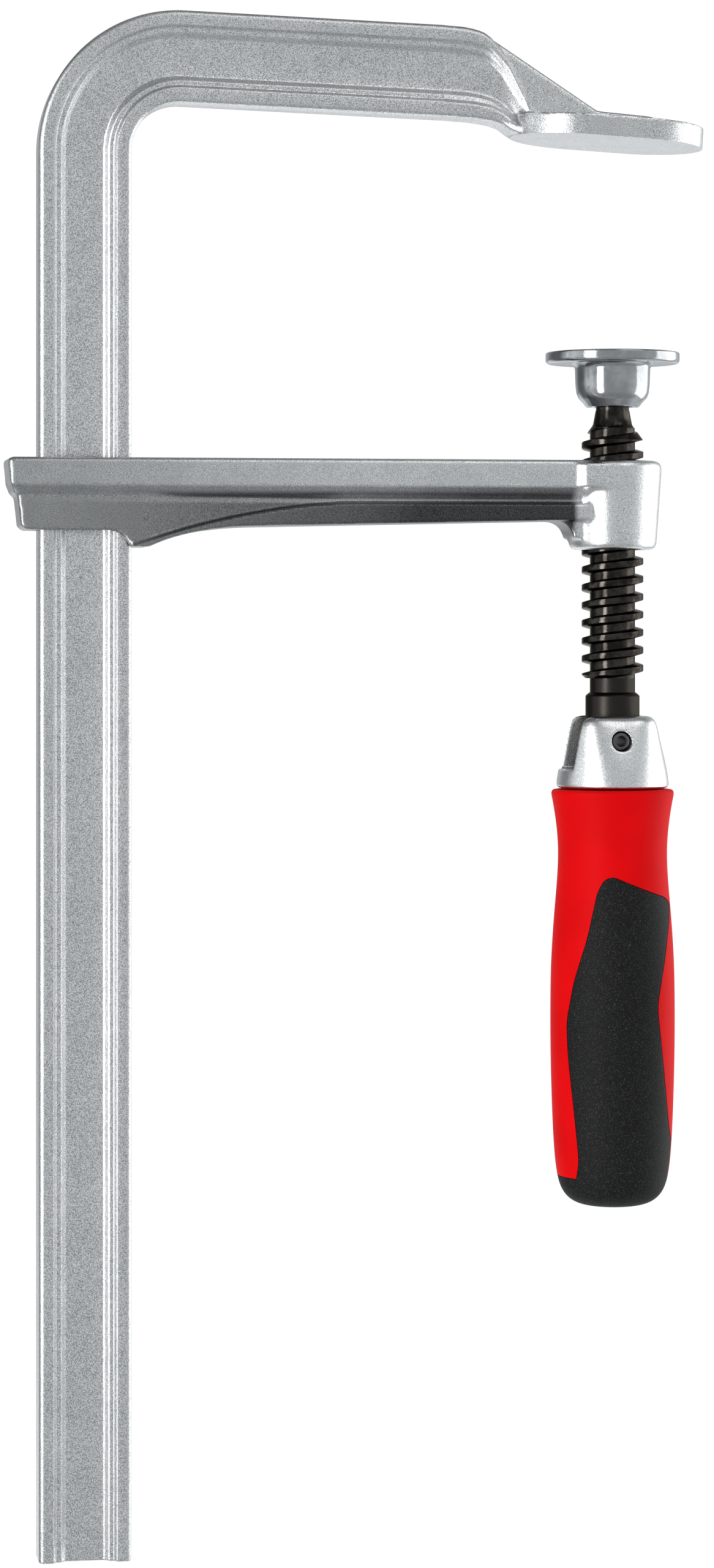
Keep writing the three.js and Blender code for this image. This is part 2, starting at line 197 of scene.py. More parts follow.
soft_box("strip_box_left", (-1.15, -0.95, -0.18), width=0.42, height=1.45, power=14)
soft_box("soft_box_right", (1.42, 0.2, -0.2), width=1.5, height=1.5, power=10.5)
soft_box("soft_box_high", (0.5, -1.0, 1.15), width=1.1, height=0.8, power=3)
room = bpy.data.worlds.new("studio")
bpy.context.scene.world = room
studio = Nodes(room)
towards = studio.add("ShaderNodeTexCoord", {}, {}, "Generated")
split = studio.add("ShaderNodeSeparateXYZ", {}, {0: towards}, "X")
rightwards, away, upwards = (Signal(studio, output) for output in split.socket.node.outputs)
low = studio.between(0 - upwards, 0.08, 0.3) * studio.between(away, 0.7, 0.92)
straight_down = studio.between(0 - upwards, 0.55, 0.8)
behind = studio.between(away, -0.1, 0.5)
bright_left = studio.between(0 - rightwards, 0.9, 0.98) * 0.4
bright_right = studio.between(rightwards, 0.5, 0.9) * (0.15 + 0.3 * behind)
dim_left = studio.between(0 - rightwards, 0.25, 0.7) * behind * (1 - low) * 0.34
dim_low_front = studio.between(0 - upwards, 0.4, 0.8) * (1 - studio.between(away, -0.3, 0.2)) * 0.12
dim_overhead = studio.between(upwards, 0.35, 0.8) * 0.3
front_glow = 0.54
white_glow = 0.6
glow = front_glow + white_glow * (low + straight_down * behind) + bright_left + bright_right
glow = glow - dim_left - dim_overhead - dim_low_front
studio.feed(room.node_tree.nodes["Background"].inputs["Color"], (0.95, 0.985, 1.0, 1))
studio.feed(room.node_tree.nodes["Background"].inputs["Strength"], glow)


# Fixed bar. One drop forging in zinc-plated steel: a bar with a recessed web and shelves on each face is
# bent into the jaw arm, which drops and spreads into an oval pad with a thin rib on its back.
class Finish(Nodes):
    """A surface finish: one material, its Principled shader and the nodes that vary it."""

    def __init__(self, name, metallic):
        super().__init__(bpy.data.materials.new(name))
        self.material = self.owner
        self.shader = self.tree.nodes["Principled BSDF"]
        self.shader.inputs["Metallic"].default_value = metallic
        self.place = self.add("ShaderNodeTexCoord", {}, {}, "Object")

    def along(self, axis):
        """Object position along X, Y or Z, in metres."""
        return self.add("ShaderNodeSeparateXYZ", {}, {0: self.place}, axis)

    def noise(self, grain, detail=2.0, roughness=0.5):
        """Noise whose blobs are about one grain across, in metres."""
        sockets = {"Vector": self.place, "Scale": 1 / grain, "Detail": detail, "Roughness": roughness}
        return self.add("ShaderNodeTexNoise", {}, sockets)

    def blend(self, share, first, second):
        """From the first colour to the second by a share."""
        return self.add("ShaderNodeMix", {"data_type": "RGBA"}, {0: share, 6: first, 7: second}, 2)

    def bump(self, height, depth, under=None):
        """Normals for a height signal of a given depth in metres, on top of another bump."""
        sockets = {"Height": height, "Distance": depth, "Strength": 1.0}
        if under:
            sockets["Normal"] = under
        return self.add("ShaderNodeBump", {}, sockets)

    def wear(self, colour, roughness, normal):
        """Links what varies over the surface to the shader."""
        self.feed(self.shader.inputs["Base Color"], colour)
        self.feed(self.shader.inputs["Roughness"], roughness)
        self.feed(self.shader.inputs["Normal"], normal)
        return self.material


def grey(level, blue=0.02):
    """A near-neutral colour, a little bluer than grey."""
    return (level, level * (1 + blue / 2), level * (1 + blue), 1)


def plated(name, tone, dark, grain, depth, shine, shade=None):
    """Zinc over blasted steel: pebbled, with faint clouds, dark flecks of a share of its tone and bright
    ones that are painted glints; a shade mask paints shade by blending to a darker copy.
    """
    finish = Finish(name, 1.0)
    clouds = finish.between(finish.noise(9 * mm, 3, 0.6), 0.35, 0.65)
    pebbles = finish.noise(grain, 2, 0.6)
    # Bright flecks: partly the grain's own tone, partly painted glints of the soft boxes.
    painted_glints = finish.between(finish.noise(grain, 1), 0.33, 0.63)
    bright = finish.blend(clouds, grey(tone), grey(tone * 1.1))
    flecked = finish.blend(painted_glints, grey(tone * dark), bright)
    # Painted shade: a darker copy of the flecked colour, which a shade mask blends towards.
    deep = finish.blend(painted_glints, grey(tone * 0.02), grey(tone * 0.13))
    colour = finish.blend(shade(finish), flecked, deep) if shade else flecked
    return finish.wear(colour, shine + 0.1 * (1 - painted_glints), finish.bump(pebbles, depth))


def ring_of(bm, points):
    """A closed ring of edges through a few points."""
    verts = [bm.verts.new(point) for point in points]
    return [bm.edges.new(pair) for pair in zip(verts, verts[1:] + verts[:1])]


def walk(ring):
    """The vertices of a closed ring of edges, in order."""
    verts = [ring[0].verts[0]]
    links = {vert: [edge for edge in ring if vert in edge.verts] for edge in ring for vert in edge.verts}
    edge = ring[0]
    while len(verts) < len(ring):
        verts.append(edge.other_vert(verts[-1]))
        edge = next(other for other in links[verts[-1]] if other != edge)
    return verts


def new_piece(name, bm):
    """A linked object from a bmesh, its doubles merged and its faces pointing out."""
    bmesh.ops.remove_doubles(bm, verts=bm.verts, dist=0.002 * mm)
    bmesh.ops.recalc_face_normals(bm, faces=bm.faces)
    mesh = bpy.data.meshes.new(name)
    bm.to_mesh(mesh)
    bm.free()
    piece = bpy.data.objects.new(name, mesh)
    bpy.context.scene.collection.objects.link(piece)
    return piece


def modified(piece, *modifiers):
    """Applies modifiers to a piece, each given as its type and settings."""
    for kind, settings in modifiers:
        modifier = piece.modifiers.new(kind.lower(), kind)
        for key, value in settings.items():
            setattr(modifier, key, value)
    graph = bpy.context.evaluated_depsgraph_get()
    mesh = bpy.data.meshes.new_from_object(piece.evaluated_get(graph))
    piece.modifiers.clear()
    piece.data = mesh
    return piece


def combined(piece, operation, *others):
    """Joins, cuts or crosses a piece with others, which are used up."""
    for other in others:
        settings = {"operation": operation, "object": other, "solver": "MANIFOLD"}
        modified(piece, ("BOOLEAN", settings))
        bpy.data.objects.remove(other)
    return piece


def edges_rounded(piece, width, segments=3, angle=30):
    settings = {
        "width": width,
        "segments": segments,
        "limit_method": "ANGLE",
        "angle_limit": radians(angle),
        "use_clamp_overlap": True,
    }
    return modified(piece, ("BEVEL", settings))


def shown(piece, body, slot, material, *replaced, sharp=35):
    """Gives a finished piece its shading, finish, body and the nodes that it stands for."""
    piece.data.shade_smooth()
    piece.data.set_sharp_from_angle(angle=radians(sharp))
    piece.data.materials.clear()
    piece.data.materials.append(material)
    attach(piece, body)
    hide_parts(*replaced)
    return piece


def softened(piece, voxel, passes):
    """Remeshes and smooths a piece, so its parts run into each other like a forging's."""
    remesh = ("REMESH", {"mode": "VOXEL", "voxel_size": voxel})
    return modified(piece, remesh, ("SMOOTH", {"factor": 0.5, "iterations": passes}))


def raised(bm, ring, offset):
    """Fills a ring of edges and pulls the face out into a solid."""
    face = bmesh.ops.contextual_create(bm, geom=ring)["faces"]
    grown = bmesh.ops.extrude_face_region(bm, geom=face, use_keep_orig=True)["geom"]
    bmesh.ops.translate(bm, verts=only(bmesh.types.BMVert, grown), vec=offset)


def slab(name, outline, thickness, edge=0.0):
    """A plate with its outline in the XZ plane, given as (x, z) points, with rounded edges."""
    bm = bmesh.new()
    raised(bm, ring_of(bm, [(x, -thickness / 2, z) for x, z in outline]), (0, thickness, 0))
    piece = new_piece(name, bm)
    return edges_rounded(piece, edge) if edge else piece


def along_line(points, x):
    """Height at x of a line through a few (x, height) points."""
    for (x_before, before), (x_after, after) in zip(points, points[1:]):
        if x <= x_after:
            break
    share = min(max((x - x_before) / (x_after - x_before), 0), 1)
    return before + (after - before) * share


def soft_share(x, low, high):
    """0 below low, 1 above high, with a soft slope between."""
    share = min(max((x - low) / (high - low), 0), 1)
    return share * share * (3 - 2 * share)


def in_mm(pairs):
    return [(x * mm, z * mm) for x, z in pairs]


bar_width = 22.5 * mm
bar_thickness = 11 * mm
bar_inner_x = -120 * mm
bend_radius = 12 * mm
arm_slope = radians(2)
corner_radius = 1.3 * mm
corner = [
    (corner_radius * (1 - cos(angle)), corner_radius * (1 - sin(angle)))
    for angle in (step * pi / 8 for step in range(5))
]
shelves = [(3.35, 0), (3.6, 0.08), (3.9, 0.45), (4.15, 0.85), (4.35, 0.97), (4.55, 1.0), (5.15, 1.0)]
shelves += [(5.4, 1.06), (5.75, 1.35), (6.3, 1.9), (6.6, 2.12), (6.95, 2.2)]
half_face = corner + in_mm(shelves)
whole_face = half_face + [(bar_width - across, deep) for across, deep in reversed(half_face)]
near_face = [(across, deep - bar_thickness / 2) for across, deep in whole_face]
section = near_face + [(across, -y) for across, y in reversed(near_face)]

bar = bmesh.new()
outer_x = bar_inner_x - bar_width
bend_x = bar_inner_x + bend_radius
bend_z = bar_high.z - bend_radius - bar_width
jaw_start = -43 * mm
start = ring_of(bar, [(outer_x + across, y, bar_low.z) for across, y in section])
top_of_bar = pulled(bar, start, (0, 0, bend_z - bar_low.z))
bent = bmesh.ops.spin(
    bar,
    geom=top_of_bar,
    cent=(bend_x, 0, bend_z),
    axis=(0, 1, 0),
    angle=pi / 2 + arm_slope,
    steps=60,
)["geom_last"]
arm_run = jaw_start - bend_x
arm_end = pulled(bar, only(bmesh.types.BMEdge, bent), (arm_run, 0, -arm_run * tan(arm_slope)))
end_verts = {vert for edge in arm_end for vert in edge.verts}
for vert in end_verts:
    vert.co.z -= (jaw_start - vert.co.x) * tan(arm_slope)
    vert.co.x = jaw_start
section_top = max(vert.co.z for vert in end_verts)
section_low = min(vert.co.z for vert in end_verts)
end_order = [(v.co.y, (v.co.z - section_low) / (section_top - section_low)) for v in walk(arm_end)]
for end in (start, arm_end):
    bmesh.ops.contextual_create(bar, geom=end)
bar_end_edges = [edge for edge in bar.edges if all(v.co.z < bar_low.z + 0.01 * mm for v in edge.verts)]
bmesh.ops.bevel(
    bar,
    geom=bar_end_edges,
    offset=0.7 * mm,
    segments=3,
    affect="EDGES",
    profile=0.5,
    material=-1,
    clamp_overlap=True,
)
clamp_bar = new_piece("clamp_bar", bar)

jaw_end = -9 * mm
seam_overlap = 1.5 * mm
arm_rise = 0.07
drop_top = [(-45, section_top / mm + arm_rise), (-43, section_top / mm), (-38, 27.8), (-35, 27.2)]
drop_top += [(-33, 26.5), (-31.4, 25.4), (-30.2, 24.0), (-27.4, 20.6), (-25.7, 17.2), (-24.2, 13.8)]
drop_top = in_mm(drop_top + [(-22.3, 9.2), (-20, 6.6), (-16, 5.4), (-9, 5.0)])
drop_low = [(-45, section_low / mm + arm_rise), (-43, section_low / mm), (-36, 5.2), (-31, 4.5)]
drop_low = in_mm(drop_low + [(-28.3, 3.6), (-26.2, 2.1), (-25, 1.7), (-9, 1.0)])
jaw = bmesh.new()
rings = []
jaw_steps = 40
for step in range(jaw_steps + 1):
    x = jaw_start - seam_overlap + (jaw_end - jaw_start + seam_overlap) * step / jaw_steps
    low, high = along_line(drop_low, x), along_line(drop_top, x)
    fade = 1 - 0.85 * soft_share(x, -29 * mm, -19 * mm)
    flare = 2.0 * soft_share(x, -29 * mm, -11 * mm)
    places = []
    for y, share in end_order:
        inset = (bar_thickness / 2 - abs(y)) * fade
        wide = (bar_thickness / 2 - inset) * (1 + flare * (1 - share) ** 2)
        places.append((x, wide if y > 0 else -wide, low + (high - low) * share))
    rings.append(ring_of(jaw, places))
for near, far in zip(rings, rings[1:]):
    bmesh.ops.bridge_loops(jaw, edges=near + far)
for end in (rings[0], rings[-1]):
    bmesh.ops.contextual_create(jaw, geom=end)
jaw_block = new_piece("jaw_block", jaw)

pad_length = 48 * mm
pad_width = 34 * mm
pad_thickness = 5.2 * mm
pad_middle = -1.6 * mm
pad_slope = radians(3.3)
pad = bmesh.new()
rim = bmesh.ops.create_circle(pad, cap_ends=True, segments=96, radius=pad_width / 2)["verts"]
for vert in rim:
    vert.co.x += (pad_length - pad_width) / 2 * (1 if vert.co.x > 0 else -1)
grown = bmesh.ops.extrude_face_region(pad, geom=pad.faces[:], use_keep_orig=True)["geom"]
bmesh.ops.translate(pad, verts=only(bmesh.types.BMVert, grown), vec=(0, 0, pad_thickness))
ground_depth = 1.2 * mm
bmesh.ops.translate(pad, verts=[v for v in pad.verts if v.co.z < 0.1 * mm], vec=(0, 0, -ground_depth))
place_of_pad = Matrix.Translation((pad_middle, 0, -pad_middle * tan(pad_slope)))
tilt_of_pad = Matrix.Rotation(pad_slope, 4, "Y")
bmesh.ops.transform(pad, matrix=place_of_pad @ tilt_of_pad, verts=pad.verts)
jaw_pad = new_piece("jaw_pad", pad)

rib_outline = [(-31.5, 10), (-29, 7), (-22, 3), (10.6, 2), (11.0, 6.3)]
rib_outline += [(10.0, 7.0), (-4.0, 8.1), (-29.8, 24.8), (-31.5, 25.0)]
rib_width = 6.5 * mm
jaw_rib = slab("jaw_rib", in_mm(rib_outline), rib_width, 0.8 * mm)
draft_along, draft_up = 0.04, 0.05
for vert in jaw_rib.data.vertices:
    thinner = draft_along * (vert.co.x + 30 * mm) + draft_up * vert.co.z
    vert.co.y -= thinner if vert.co.y > 0 else -thinner
combined(jaw_block, "UNION", jaw_pad, jaw_rib)
softened(jaw_block, 0.42 * mm, 5)
jaw_finish = bmesh.new()
jaw_finish.from_mesh(jaw_block.data)
cuts = [
    ((jaw_start - 0.03 * mm, 0, 0), (-1, 0, 0)),
    (place_of_pad.to_translation(), tilt_of_pad @ Vector((0, 0, -1))),
]
for point, outwards in cuts:
    geometry = jaw_finish.verts[:] + jaw_finish.edges[:] + jaw_finish.faces[:]
    cut = bmesh.ops.bisect_plane(
        jaw_finish, geom=geometry, dist=0.001 * mm, plane_co=point, plane_no=outwards, clear_outer=True
    )
    bmesh.ops.contextual_create(jaw_finish, geom=only(bmesh.types.BMEdge, cut["geom_cut"]))
jaw_finish.to_mesh(jaw_block.data)
jaw_finish.free()
combined(clamp_bar, "UNION", jaw_block)
zinc_forging = plated("zinc_forging", tone=0.98, dark=0.34, grain=0.17 * mm, depth=0.045 * mm, shine=0.2)
shown(clamp_bar, "bar", "zinc_forging", zinc_forging, "fixed_bar", sharp=32)


# Sliding arm. A second forging with a sleeve round the bar, a wide flange along its top, a recessed web,
# a thicker bulb below that starts at a toe beside the bar, and a round boss with the screw's thread in it.
arm_low, arm_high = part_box("sliding_arm")
arm_top = arm_high.z
underside = arm_low.z + 7.2 * mm
toe = arm_low.z + 0.4 * mm
boss_top_radius = arm_high.x
boss_bottom_radius = boss_top_radius - 1.3 * mm


def curve_between(start, control, end, steps=14):
    """Points of a quadratic curve, without its first one."""
    start, control, end = Vector(start), Vector(control), Vector(end)
    shares = (step / steps for step in range(1, steps + 1))
    return [tuple((1 - t) ** 2 * start + 2 * t * (1 - t) * control + t * t * end) for t in shares]


def turned(name, profile, segments=96):
    """A solid turned about the screw's axis from (radius, height) points, with both ends on the axis."""
    bm = bmesh.new()
    verts = [bm.verts.new((radius, 0, z)) for radius, z in profile]
    edges = [bm.edges.new(pair) for pair in zip(verts, verts[1:])]
    bmesh.ops.spin(
        bm,
        geom=verts + edges,
        cent=(0, 0, 0),
        axis=(0, 0, 1),
        angle=2 * pi,
        steps=segments,
        use_merge=True,
    )
    return new_piece(name, bm)


flange_low = arm_top - 6.9 * mm
flange_slope = 2.5 * mm
half_flange = 10.3 * mm
half_sleeve = 8.3 * mm
half_web = 7.1 * mm
half_bulb = 9.4 * mm
toe_start = (bar_inner_x - 6 * mm, arm_top - 17.6 * mm)
toe_low = (bar_inner_x - 0.5 * mm, toe)
toe_right = (bar_inner_x + 4 * mm, toe)
arc_end = (bar_inner_x + 32 * mm, underside - 1.7 * mm)
rise = curve_between(toe_right, (bar_inner_x + 14 * mm, underside - 1.9 * mm), arc_end)
root = (-boss_bottom_radius - 5.5 * mm, underside - 0.1 * mm)
throat_end = (-boss_bottom_radius - 0.2 * mm, underside - 4.5 * mm)
throat = curve_between(root, (-boss_bottom_radius - 1 * mm, underside), throat_end, 6)
web_outline = (
    [(arm_low.x + 1.7 * mm, arm_top - 3 * mm), (arm_low.x + 3.2 * mm, toe_start[1] + 1 * mm)]
    + [(arm_low.x + 4.4 * mm, toe_start[1]), toe_start]
    + curve_between(toe_start, (bar_inner_x - 2.5 * mm, toe_start[1]), toe_low, 6)
    + [toe_right]
    + rise
    + [root]
    + throat
    + [(-6 * mm, underside - 4.5 * mm), (-6 * mm, arm_top - 3 * mm)]
)
arm = slab("arm", web_outline, 2 * half_sleeve)
thinned = bmesh.new()
thinned.from_mesh(arm.data)
web_start, web_full = bar_inner_x + 1 * mm, bar_inner_x + 15 * mm
taper_steps = 8
for step in range(taper_steps + 1):
    geometry = thinned.verts[:] + thinned.edges[:] + thinned.faces[:]
    cut_x = web_start + (web_full - web_start) * step / taper_steps
    bmesh.ops.bisect_plane(thinned, geom=geometry, plane_co=(cut_x, 0, 0), plane_no=(1, 0, 0))
for vert in thinned.verts:
    half = half_sleeve - (half_sleeve - half_web) * soft_share(vert.co.x, web_start, web_full)
    vert.co.y = half if vert.co.y > 0 else -half
thinned.to_mesh(arm.data)
thinned.free()
bulb_top = curve_between(
    (-64 * mm, underside + 4.2 * mm), (bar_inner_x + 27 * mm, underside + 3.4 * mm), toe_low, 18
)
bulb_end = [(-6 * mm, underside), (-6 * mm, underside + 4.2 * mm)]
bulb_outline = [toe_right] + rise + [root] + bulb_end + bulb_top
arm_bulb = slab("arm_bulb", bulb_outline, 2 * half_bulb)
flange_middle = -6 * mm
flange_points = [(-half_flange, flange_low), (-half_flange, arm_top), (half_flange, arm_top)]
flange_points += [(half_flange, flange_low), (half_sleeve - 0.4 * mm, flange_low - flange_slope)]
flange_points += [(0.4 * mm - half_sleeve, flange_low - flange_slope)]
flange = bmesh.new()
flange_end = ring_of(flange, [(arm_low.x, y, z) for y, z in flange_points])
raised(flange, flange_end, (flange_middle - arm_low.x, 0, 0))
for vert in flange.verts:
    if vert.co.x < arm_low.x + 1 * mm and vert.co.z < flange_low - 1 * mm:
        vert.co.x += 1.8 * mm
arm_flange = edges_rounded(new_piece("arm_flange", flange), 1.0 * mm)
boss_edge = 1.6 * mm
boss = turned(
    "boss",
    [
        (0, arm_low.z),
        (boss_bottom_radius - boss_edge, arm_low.z),
        (boss_bottom_radius - boss_edge * 0.3, arm_low.z + boss_edge * 0.3),
        (boss_bottom_radius, arm_low.z + boss_edge),
        (boss_top_radius, arm_top - boss_edge),
        (boss_top_radius - boss_edge * 0.3, arm_top - boss_edge * 0.3),
        (boss_top_radius - boss_edge, arm_top),
        (0, arm_top),
    ],
)
shoulder_plan = [(-11.4, 10.2), (-8.8, 11.8), (0, 11.8), (0, -11.8), (-8.8, -11.8), (-11.4, -10.2)]
shoulder = bmesh.new()
shoulder_ring = ring_of(shoulder, [(x * mm, y * mm, flange_low) for x, y in shoulder_plan])
raised(shoulder, shoulder_ring, (0, 0, arm_top - 0.8 * mm - flange_low))
combined(arm, "UNION", arm_bulb, arm_flange, boss, new_piece("boss_shoulder", shoulder))
softened(arm, 0.5 * mm, 8)

pitch = 4.4 * mm
crest_radius = 7.65 * mm
root_radius = 5.6 * mm
crest_width = 1.5 * mm
thread_top = -70.2 * mm
thread_phase = -67.9 * mm
thread_bottom = -132.2 * mm


def thread_ridge(name, high, low, grow, steps_per_turn):
    """A closed trapezoid ridge wound as a right-hand helix about the screw's axis."""
    base = root_radius - 0.6 * mm
    crest = crest_radius + grow
    half_crest = crest_width / 2 + grow
    half_base = half_crest + (crest_radius - base) * tan(radians(15))
    steps = round((high - low) / pitch * steps_per_turn)
    phase = 2 * pi * (high - thread_phase) / pitch
    bm = bmesh.new()
    profile = [(base, -half_base), (crest, -half_crest), (crest, half_crest), (base, half_base)]
    ring = ring_of(bm, [(radius * cos(phase), radius * sin(phase), high + z) for radius, z in profile])
    bmesh.ops.contextual_create(bm, geom=ring)
    turn = bmesh.ops.spin(
        bm,
        geom=ring,
        cent=(0, 0, 0),
        axis=(0, 0, 1),
        dvec=(0, 0, -pitch / steps_per_turn),
        angle=-2 * pi * steps / steps_per_turn,
        steps=steps,
    )["geom_last"]
    bmesh.ops.contextual_create(bm, geom=only(bmesh.types.BMEdge, turn))
    return new_piece(name, bm)


def block(name, low, high):
    bm = bmesh.new()
    bmesh.ops.create_cube(bm, size=1)
    bmesh.ops.scale(bm, vec=[b - a for a, b in zip(low, high)], verts=bm.verts)
    bmesh.ops.translate(bm, vec=[(a + b) / 2 for a, b in zip(low, high)], verts=bm.verts)
    return new_piece(name, bm)


slide_gap = 0.4 * mm
cut_low, cut_high = arm_low.z - 5 * mm, arm_top + 5 * mm
window = block(
    "window",
    (bar_inner_x - bar_width - slide_gap, -bar_thickness / 2 - slide_gap, cut_low),
    (bar_inner_x + slide_gap, bar_thickness / 2 + slide_gap, cut_high),
)
thread_gap = 0.3 * mm
bore_radius = root_radius + thread_gap
bore = turned("bore", [(0, cut_low), (bore_radius, cut_low), (bore_radius, cut_high), (0, cut_high)], 48)
groove = thread_ridge("groove", arm_top + pitch, arm_low.z - pitch, thread_gap, 48)
combined(arm, "DIFFERENCE", window, bore, groove)
arm.name = "screw_arm"


def arm_painted_shade(finish):
    """Painted shade, as the share of the darker copy: over the web and the bulb, on the flange's far left,
    not on the boss.
    """
    across, height = finish.along("X"), finish.along("Z")
    # Painted shade masks: below the flange, over the bulb, darker at the far left and towards the web's
    # right.
    off_boss = finish.between(across, -9.8 * mm, -12.2 * mm)
    under = finish.between(height, flange_low + 0.7 * mm, flange_low - 0.4 * mm)
    low_down = finish.between(height, underside + 4.4 * mm, underside + 3.6 * mm)
    far_left = finish.between(across, -60 * mm, -150 * mm)
    right = finish.between(across, -70 * mm, -25 * mm)
    web = under * (0.42 + 0.28 * right - 0.25 * far_left)
    return off_boss * (0.02 + 0.33 * far_left + web + low_down * (0.45 - 0.42 * far_left))


# The arm's colour goes towards a darker copy by painted shade over the web and the bulb.
satin_forging = plated(
    "satin_forging", tone=0.95, dark=0.5, grain=0.18 * mm, depth=0.04 * mm, shine=0.2, shade=arm_painted_shade
)
shown(arm, "arm", "satin_forging", satin_forging, "sliding_arm", sharp=40)


# Screw. A rolled trapezoidal thread in blackened, oiled steel, with a smooth neck and a ball above it, a
# short relief, and a plain shank below it that ends in an eye inside the handle's yoke.
ball_middle = -60 * mm
ball_radius = 6 * mm
neck_radius = 4.1 * mm
shank_radius = 6.7 * mm
relief_length = 3.6 * mm
pivot_z = -147.6 * mm
relief_end = thread_bottom - relief_length


def arc(middle, radius, angles):
    """Points on a circle about a middle, at a few angles in degrees."""
    turns = [radians(angle) for angle in angles]
    return [(middle[0] + radius * cos(turn), middle[1] + radius * sin(turn)) for turn in turns]


ball_points = arc((0, ball_middle), ball_radius, range(-15, 90, 7)) + [(0, ball_middle + ball_radius)]
screw = turned(
    "screw",
    [
        (0, pivot_z - shank_radius),
        (shank_radius, pivot_z - shank_radius),
        (shank_radius, relief_end - 0.85 * mm),
        (shank_radius - 0.15 * mm, relief_end - 0.6 * mm),
        (root_radius + 0.25 * mm, relief_end),
        (root_radius, relief_end + 0.1 * mm),
        (root_radius, thread_bottom),
        (root_radius, thread_top - 2 * mm),
        (root_radius - 0.1 * mm, thread_top - 0.15 * mm),
        (root_radius - 0.45 * mm, thread_top + 0.25 * mm),
        (root_radius - 0.75 * mm, thread_top + 0.8 * mm),
        (neck_radius + 0.45 * mm, thread_top + 2.3 * mm),
        (neck_radius + 0.1 * mm, thread_top + 4.2 * mm),
        (neck_radius, ball_middle - ball_radius),
        (neck_radius, ball_middle - 3.3 * mm),
        (neck_radius - 0.5 * mm, ball_middle - 3.3 * mm),
        (neck_radius - 0.5 * mm, ball_middle - 1.7 * mm),
    ]
    + ball_points,
)
ridge = thread_ridge("ridge", thread_top + pitch / 2, thread_bottom - pitch / 2, 0, 72)
edges_rounded(ridge, 0.16 * mm, 2, 25)
beyond = crest_radius + 0.2 * mm
run_outs = turned(
    "run_outs",
    [
        (0, thread_bottom),
        (crest_radius - 0.9 * mm, thread_bottom),
        (beyond, thread_bottom + 1.0 * mm),
        (beyond, thread_top - 3.4 * mm),
        (root_radius - 0.4 * mm, thread_top + 0.2 * mm),
        (0, thread_top + 0.2 * mm),
    ],
)
combined(ridge, "INTERSECT", run_outs)
end_outline = (
    [(-9 * mm, ball_middle + 9 * mm), (-9 * mm, thread_bottom), (-shank_radius, relief_end)]
    + arc((0, pivot_z), shank_radius, range(180, 361, 6))
    + [(shank_radius, relief_end), (9 * mm, thread_bottom), (9 * mm, ball_middle + 9 * mm)]
)
combined(screw, "INTERSECT", slab("end_form", end_outline, 30 * mm))


def cross_rod(name, radius, length):
    """A round rod through the handle's pivot, across the screw."""
    bm = bmesh.new()
    bmesh.ops.create_cone(
        bm,
        cap_ends=True,
        segments=48,
        radius1=radius,
        radius2=radius,
        depth=length,
        matrix=Matrix.Translation((0, 0, pivot_z)) @ Matrix.Rotation(pi / 2, 4, "X"),
    )
    return new_piece(name, bm)


pin_radius = 2.15 * mm
pin_gap = 0.3 * mm
combined(screw, "DIFFERENCE", cross_rod("eye_hole", pin_radius + pin_gap, 30 * mm))
combined(screw, "UNION", ridge)
screw.name = "lead_screw"
blackened = Finish("blackened_steel", 1.0)
oil = blackened.between(blackened.noise(3.5 * mm, 4, 0.65), 0.35, 0.65)
scratches = blackened.noise(0.35 * mm, 3, 0.6)
plain = blackened.between(blackened.along("Z"), thread_bottom + 0.2 * mm, thread_bottom - 0.2 * mm)
blackened.shader.inputs["Specular Tint"].default_value = (0.6, 0.58, 0.55, 1)
brown = blackened.blend(oil, (0.022, 0.0195, 0.017, 1), (0.065, 0.059, 0.053, 1))
blackened_steel = blackened.wear(
    blackened.blend(plain, brown, (0.035, 0.032, 0.029, 1)),
    0.04 + 0.1 * scratches + 0.04 * oil + 0.25 * plain,
    blackened.bump(scratches, 0.018 * mm),
)
shown(screw, "screw", "blackened_steel", blackened_steel, "spindle", sharp=30)


# Snap ring. A small open ring of spring steel in the ball's groove, hidden in the plate's cup.
spring = Finish("spring_steel", 1.0)
spring_grain = spring.noise(0.3 * mm, 3, 0.6)
spring_steel = spring.wear(
    spring.blend(spring_grain, (0.07, 0.07, 0.072, 1), (0.2, 0.2, 0.205, 1)),
    0.28 + 0.2 * spring_grain,
    spring.bump(spring_grain, 0.03 * mm),
)
snap_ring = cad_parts["snap_ring"]
snap_ring.data.materials.clear()
snap_ring.data.materials.append(spring_steel)


